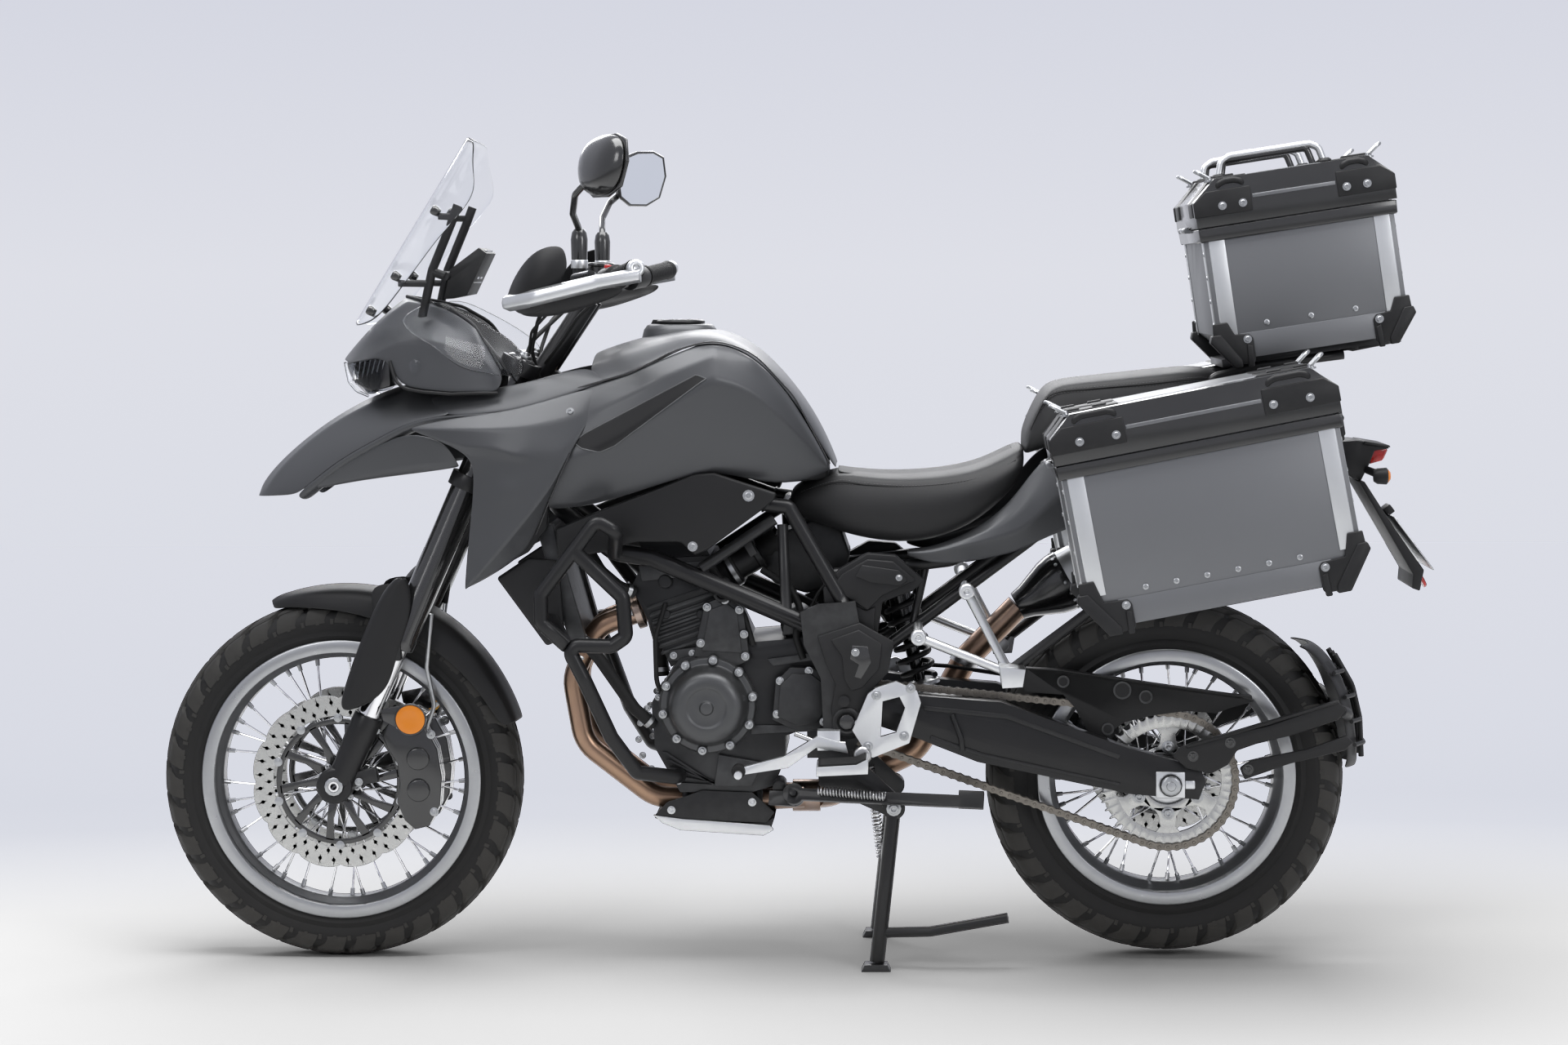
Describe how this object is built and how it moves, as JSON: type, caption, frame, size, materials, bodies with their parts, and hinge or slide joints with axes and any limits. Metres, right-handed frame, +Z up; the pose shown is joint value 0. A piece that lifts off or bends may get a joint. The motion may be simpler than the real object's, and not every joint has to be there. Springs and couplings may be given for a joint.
{
  "type": "adventure motorcycle",
  "caption": "Adventure motorcycle with spoked wheels, beak, windscreen, crash bars, hard side cases and top case, parked on its centre stand.",
  "frame": {"origin": "on the floor, at the middle of the bounding box", "axes": "+X to the rear of the motorcycle, +Y to its right-hand side, +Z up"},
  "size_m": [2.2943, 0.972, 1.5031],
  "materials": {
    "panel_grey": "matt dark grey paint",
    "plastic_black": "grained black plastic",
    "frame_black": "satin black powder coat",
    "engine_black": "dark grey cast cases",
    "silver_cast": "satin cast and forged alloy",
    "steel": "brushed",
    "rim_silver": "anodised rim with polished flange",
    "fork_black": "gloss black tubes",
    "header_brown": "heat tinted pipe",
    "case_silver": "brushed corner strips",
    "case_grey": "flat grey case sides",
    "seat_black": "two grained covers with double stitching",
    "screen_clear": "clear moulded sheet",
    "lamp_glass": "clear lamp lens",
    "lens_red": "red lens",
    "rubber_black": "moulded",
    "tyre_black": "dual-sport tread",
    "chain_steel": "oiled chain plates"
  },
  "bodies": {
    "chassis": {"main_frame": "frame_black", "subframe": "frame_black", "engine": "engine_black", "engine_covers": "engine_black", "exhaust_pipes": "header_brown", "silencer": "steel", "radiator": "plastic_black", "skid_plate": "silver_cast", "engine_guard": "frame_black", "fuel_tank": "panel_grey", "side_fairings": "panel_grey", "lower_panels": "plastic_black", "beak": "panel_grey", "nose_cowl": "plastic_black", "headlamp": "lamp_glass", "windscreen": "screen_clear", "instrument_panel": "plastic_black", "rider_seat": "seat_black", "pillion_seat": "seat_black", "side_covers": "plastic_black", "tail_panels": "panel_grey", "swingarm": "frame_black", "shock_absorber": "steel", "chain": "chain_steel", "chain_guard": "plastic_black", "rear_hugger": "plastic_black", "rear_caliper": "plastic_black", "rider_pegs": "silver_cast", "foot_levers": "silver_cast", "pillion_pegs": "silver_cast", "tail_lamp": "lens_red", "plate_holder": "plastic_black", "left_pannier": "case_grey", "right_pannier": "case_grey", "top_case": "case_grey", "luggage_rack": "frame_black", "pannier_rack": "frame_black", "stand_brackets": "frame_black"},
    "steering": {"triple_clamps": "frame_black", "fork_legs": "fork_black", "handlebar": "rubber_black", "hand_controls": "plastic_black", "mirrors": "plastic_black", "hand_guards": "plastic_black", "front_fender": "plastic_black", "fork_guards": "plastic_black", "front_calipers": "plastic_black"},
    "front_wheel": {"front_tyre": "tyre_black", "front_rim": "rim_silver", "front_discs": "steel"},
    "rear_wheel": {"rear_tyre": "tyre_black", "rear_rim": "rim_silver", "rear_sprocket": "steel", "rear_disc": "steel"},
    "left_lid": {"left_pannier_lid": "plastic_black"},
    "right_lid": {"right_pannier_lid": "plastic_black"},
    "top_lid": {"top_case_lid": "plastic_black"},
    "tank_cap": {"tank_cap": "frame_black"},
    "centre_stand": {"centre_stand": "frame_black"},
    "side_stand": {"side_stand": "frame_black"}
  },
  "joints": [
    {"name": "steering_head", "type": "hinge", "parent": "chassis", "child": "steering", "pos_m": [-0.47592, 0, 0.99036], "axis": [0.4067, 0, 0.9135], "range_deg": [-35, 35]},
    {"name": "front_axle_spin", "type": "hinge", "parent": "steering", "child": "front_wheel", "pos_m": [-0.817, 0, 0.33], "axis": [0, 1, 0], "continuous": true},
    {"name": "rear_axle_spin", "type": "hinge", "parent": "chassis", "child": "rear_wheel", "pos_m": [0.689, 0, 0.335], "axis": [0, 1, 0], "continuous": true},
    {"name": "left_lid_hinge", "type": "hinge", "parent": "chassis", "child": "left_lid", "pos_m": [0.46026, -0.364, 0.92322], "axis": [0, -1, 0], "range_deg": [0, 95]},
    {"name": "right_lid_hinge", "type": "hinge", "parent": "chassis", "child": "right_lid", "pos_m": [0.46026, 0.364, 0.92322], "axis": [0, -1, 0], "range_deg": [0, 95]},
    {"name": "top_lid_hinge", "type": "hinge", "parent": "chassis", "child": "top_lid", "pos_m": [0.72316, 0, 1.32181], "axis": [0, -1, 0], "range_deg": [0, 85]},
    {"name": "tank_cap_hinge", "type": "hinge", "parent": "chassis", "child": "tank_cap", "pos_m": [-0.244, 0, 1.1645], "axis": [0, -1, 0], "range_deg": [0, 80]},
    {"name": "centre_stand_pivot", "type": "hinge", "parent": "chassis", "child": "centre_stand", "pos_m": [0.195, 0, 0.292], "axis": [0, -1, 0], "range_deg": [0, 84]},
    {"name": "side_stand_pivot", "type": "hinge", "parent": "chassis", "child": "side_stand", "pos_m": [0.016, -0.166, 0.321], "axis": [0.0785, 0.908, -0.4115], "range_deg": [0, 101]}
  ]
}
